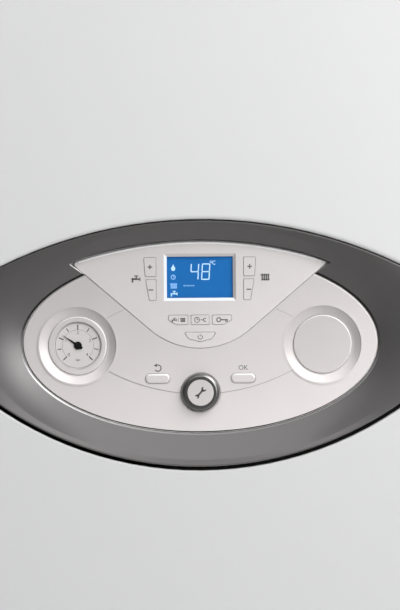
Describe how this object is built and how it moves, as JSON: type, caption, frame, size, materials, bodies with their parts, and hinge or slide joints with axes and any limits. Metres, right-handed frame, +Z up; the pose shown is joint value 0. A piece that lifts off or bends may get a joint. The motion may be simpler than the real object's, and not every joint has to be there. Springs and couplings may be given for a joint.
{
  "type": "wall-hung gas boiler",
  "caption": "Wall-hung gas boiler with storage, white box casing and a dished eye-shaped control panel with display, gauge, knob and keys that tilts out.",
  "frame": {"origin": "on the wall, midway between the two bolt holes of the hanging bracket", "axes": "+Z up, +Y from the boiler into the wall, +X to the right seen from the front; the front faces -Y"},
  "size_m": [0.6, 0.465, 1.013],
  "materials": {
    "casing_white": "smooth semi-gloss white enamel",
    "galvanised": "zinc-coated sheet",
    "flue_white": "white enamel",
    "black_plastic": "fine grain black",
    "bezel_grey": "metallic grey lacquer, semi-gloss",
    "fascia_silver": "pale silver lacquer, satin",
    "knob_grey": "dark grey, glossy",
    "clear": "clear polished",
    "lcd_blue": "back-lit blue display",
    "board_green": "solder mask",
    "dial_face": "matt printed card",
    "needle_dark": "matt dark",
    "moving_plastic": "natural nylon",
    "stainless": "bright rolled",
    "vessel_red": "red enamel",
    "cast_aluminium": "as cast",
    "motor_black": "black enamel",
    "copper": "drawn copper tube",
    "brass": "machined brass",
    "pump_iron": "coated casting",
    "trap_grey": "moulded grey",
    "relief_red": "moulded red"
  },
  "bodies": {
    "boiler": {"wall_bracket": "galvanised", "rear_frame": "galvanised", "top_plate": "galvanised", "bottom_plate": "galvanised", "left_side_panel": "casing_white", "right_side_panel": "casing_white", "panel_carrier": "black_plastic", "tank_shelf": "galvanised", "storage_tanks": "stainless", "expansion_vessel": "vessel_red", "chamber_box": "galvanised", "chamber_cover": "galvanised", "heat_exchanger": "cast_aluminium", "burner_door": "cast_aluminium", "flue_duct": "cast_aluminium", "flue_collar": "flue_white", "fan_housing": "cast_aluminium", "fan_motor": "motor_black", "gas_valve": "cast_aluminium", "gas_pipes": "copper", "pipe_stubs": "brass", "flow_group": "brass", "return_group": "brass", "plate_exchanger": "stainless", "pump_housing": "pump_iron", "pump_motor": "motor_black", "water_pipes": "copper", "condensate_trap": "trap_grey", "cable_gland": "black_plastic"},
    "casing": {"front_casing": "casing_white", "casing_screws": "galvanised"},
    "control_panel": {"panel_bezel": "bezel_grey", "panel_fascia": "fascia_silver", "display_shield": "fascia_silver", "display_window": "clear", "lcd_module": "lcd_blue", "control_board": "board_green", "control_box": "black_plastic", "gauge_case": "fascia_silver", "gauge_dial": "dial_face", "gauge_window": "clear", "timer_blank": "fascia_silver", "encoder_body": "black_plastic"},
    "needle": {"gauge_needle": "needle_dark"},
    "encoder": {"encoder_rotor": "moving_plastic"},
    "knob": {"encoder_knob": "knob_grey", "knob_cap": "fascia_silver"},
    "fan_wheel": {"fan_impeller": "moving_plastic"},
    "pump_wheel": {"pump_impeller": "moving_plastic"},
    "relief_handle": {"relief_knob": "relief_red"},
    "water_plus_button": {"water_plus_key": "fascia_silver"},
    "water_minus_button": {"water_minus_key": "fascia_silver"},
    "heating_plus_button": {"heating_plus_key": "fascia_silver"},
    "heating_minus_button": {"heating_minus_key": "fascia_silver"},
    "left_mode_button": {"left_mode_key": "fascia_silver"},
    "middle_mode_button": {"middle_mode_key": "fascia_silver"},
    "right_mode_button": {"right_mode_key": "fascia_silver"},
    "power_button": {"power_key": "fascia_silver"},
    "return_button": {"return_key": "fascia_silver"},
    "confirm_button": {"confirm_key": "fascia_silver"}
  },
  "joints": [
    {"name": "front_casing_pull", "type": "slide", "parent": "boiler", "child": "casing", "axis": [0, -1, 0], "range_m": [0, 0.4]},
    {"name": "control_panel_tilt", "type": "hinge", "parent": "boiler", "child": "control_panel", "pos_m": [0, -0.4578, -0.658], "axis": [1, 0, 0], "range_deg": [0, 40]},
    {"name": "gauge_needle_turn", "type": "hinge", "parent": "control_panel", "child": "needle", "pos_m": [-0.1233, -0.447, -0.542], "axis": [0, -1, 0], "range_deg": [-190.5, 79.5], "stiffness_Nm_per_rad": 0.002},
    {"name": "encoder_turn", "type": "hinge", "parent": "control_panel", "child": "encoder", "pos_m": [0, -0.447, -0.59], "axis": [0, -1, 0], "continuous": true},
    {"name": "encoder_push", "type": "slide", "parent": "encoder", "child": "knob", "axis": [0, 1, 0], "range_m": [0, 0.0015], "stiffness_N_per_m": 800},
    {"name": "fan_spin", "type": "hinge", "parent": "boiler", "child": "fan_wheel", "pos_m": [-0.19, -0.276, -0.006], "axis": [0, -1, 0], "continuous": true},
    {"name": "pump_spin", "type": "hinge", "parent": "boiler", "child": "pump_wheel", "pos_m": [0.14, -0.21, -0.59], "axis": [0, -1, 0], "continuous": true},
    {"name": "relief_knob_turn", "type": "hinge", "parent": "boiler", "child": "relief_handle", "pos_m": [0.14, -0.27, -0.72], "axis": [0, -1, 0], "range_deg": [0, 90]},
    {"name": "water_plus_press", "type": "slide", "parent": "control_panel", "child": "water_plus_button", "axis": [0, 1, 0], "range_m": [0, 0.001], "stiffness_N_per_m": 300},
    {"name": "water_minus_press", "type": "slide", "parent": "control_panel", "child": "water_minus_button", "axis": [0, 1, 0], "range_m": [0, 0.001], "stiffness_N_per_m": 300},
    {"name": "heating_plus_press", "type": "slide", "parent": "control_panel", "child": "heating_plus_button", "axis": [0, 1, 0], "range_m": [0, 0.001], "stiffness_N_per_m": 300},
    {"name": "heating_minus_press", "type": "slide", "parent": "control_panel", "child": "heating_minus_button", "axis": [0, 1, 0], "range_m": [0, 0.001], "stiffness_N_per_m": 300},
    {"name": "left_mode_press", "type": "slide", "parent": "control_panel", "child": "left_mode_button", "axis": [0, 1, 0], "range_m": [0, 0.001], "stiffness_N_per_m": 300},
    {"name": "middle_mode_press", "type": "slide", "parent": "control_panel", "child": "middle_mode_button", "axis": [0, 1, 0], "range_m": [0, 0.001], "stiffness_N_per_m": 300},
    {"name": "right_mode_press", "type": "slide", "parent": "control_panel", "child": "right_mode_button", "axis": [0, 1, 0], "range_m": [0, 0.001], "stiffness_N_per_m": 300},
    {"name": "power_press", "type": "slide", "parent": "control_panel", "child": "power_button", "axis": [0, 1, 0], "range_m": [0, 0.001], "stiffness_N_per_m": 300},
    {"name": "return_press", "type": "slide", "parent": "control_panel", "child": "return_button", "axis": [0, 1, 0], "range_m": [0, 0.001], "stiffness_N_per_m": 300},
    {"name": "confirm_press", "type": "slide", "parent": "control_panel", "child": "confirm_button", "axis": [0, 1, 0], "range_m": [0, 0.001], "stiffness_N_per_m": 300}
  ]
}
